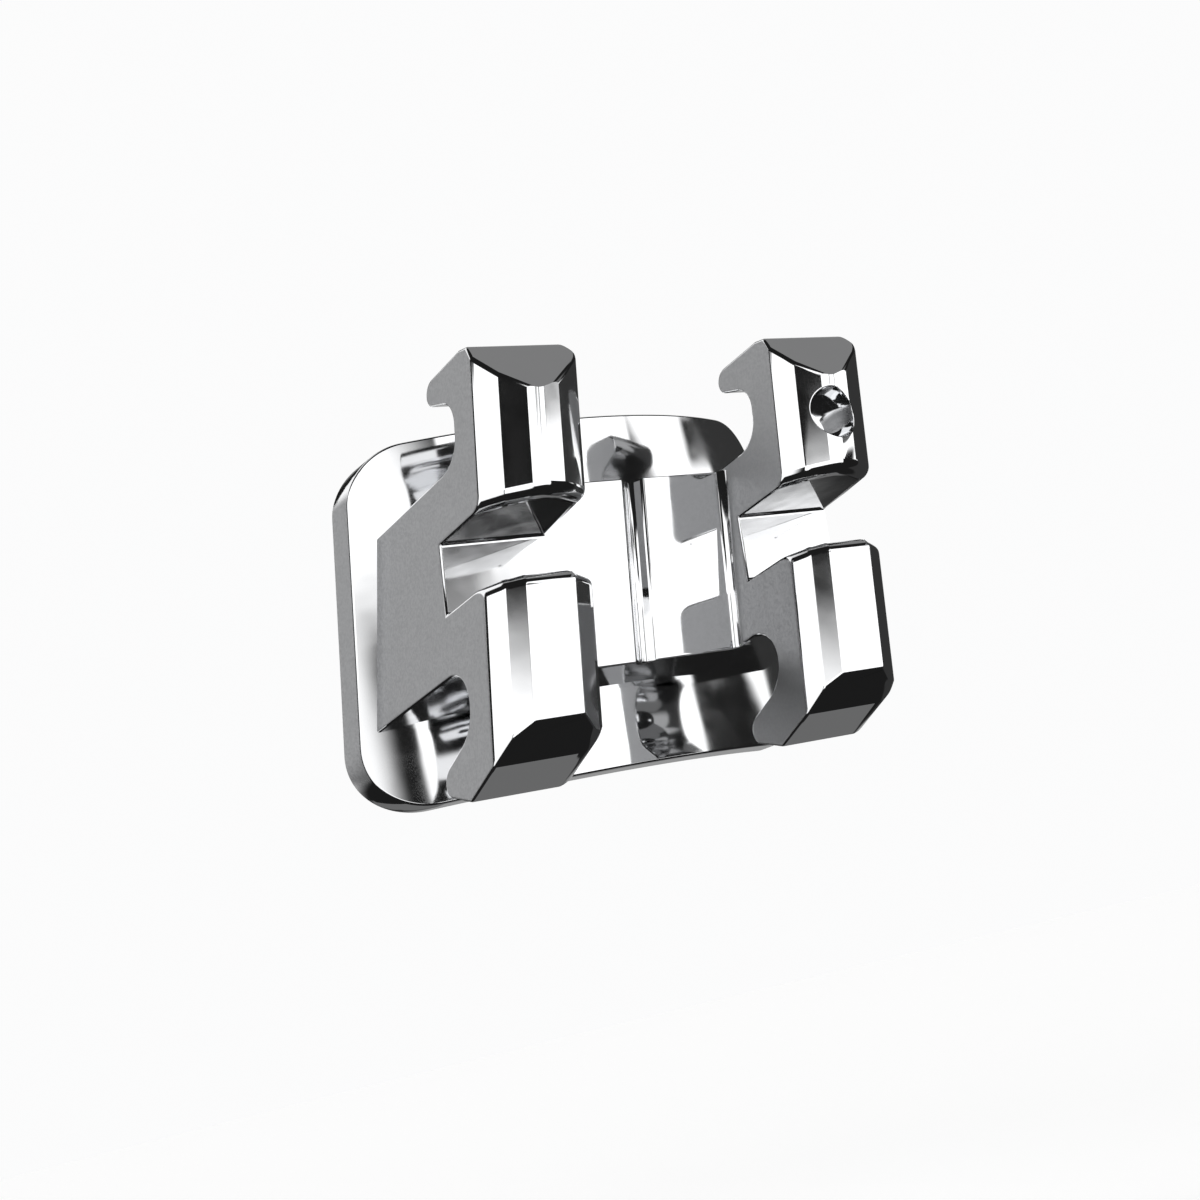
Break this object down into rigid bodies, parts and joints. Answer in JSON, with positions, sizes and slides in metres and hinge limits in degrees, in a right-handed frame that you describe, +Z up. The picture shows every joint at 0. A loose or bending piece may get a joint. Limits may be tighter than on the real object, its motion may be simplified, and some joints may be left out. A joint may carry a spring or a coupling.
{
  "type": "orthodontic bracket",
  "caption": "Polished steel twin orthodontic bracket: two pairs of tie wings with undercuts, an angled archwire slot, a web between the necks and a curved bonding pad with a pocketed back",
  "frame": {"origin": "middle of the bonding face on the back of the pad, where the bracket meets the tooth, halfway between the wing pairs and at the height of the archwire slot's middle", "axes": "X runs along the archwire, from the left wing pair to the right one as seen from the front; Y points through the pad into the tooth, so the wings face -Y; Z points up along the tooth's long axis"},
  "size_m": [0.0047, 0.0027, 0.0033],
  "materials": {
    "polished_steel": "mirror polished, satin on the side faces"
  },
  "bodies": {
    "root": {"bracket": "polished_steel"}
  },
  "joints": []
}
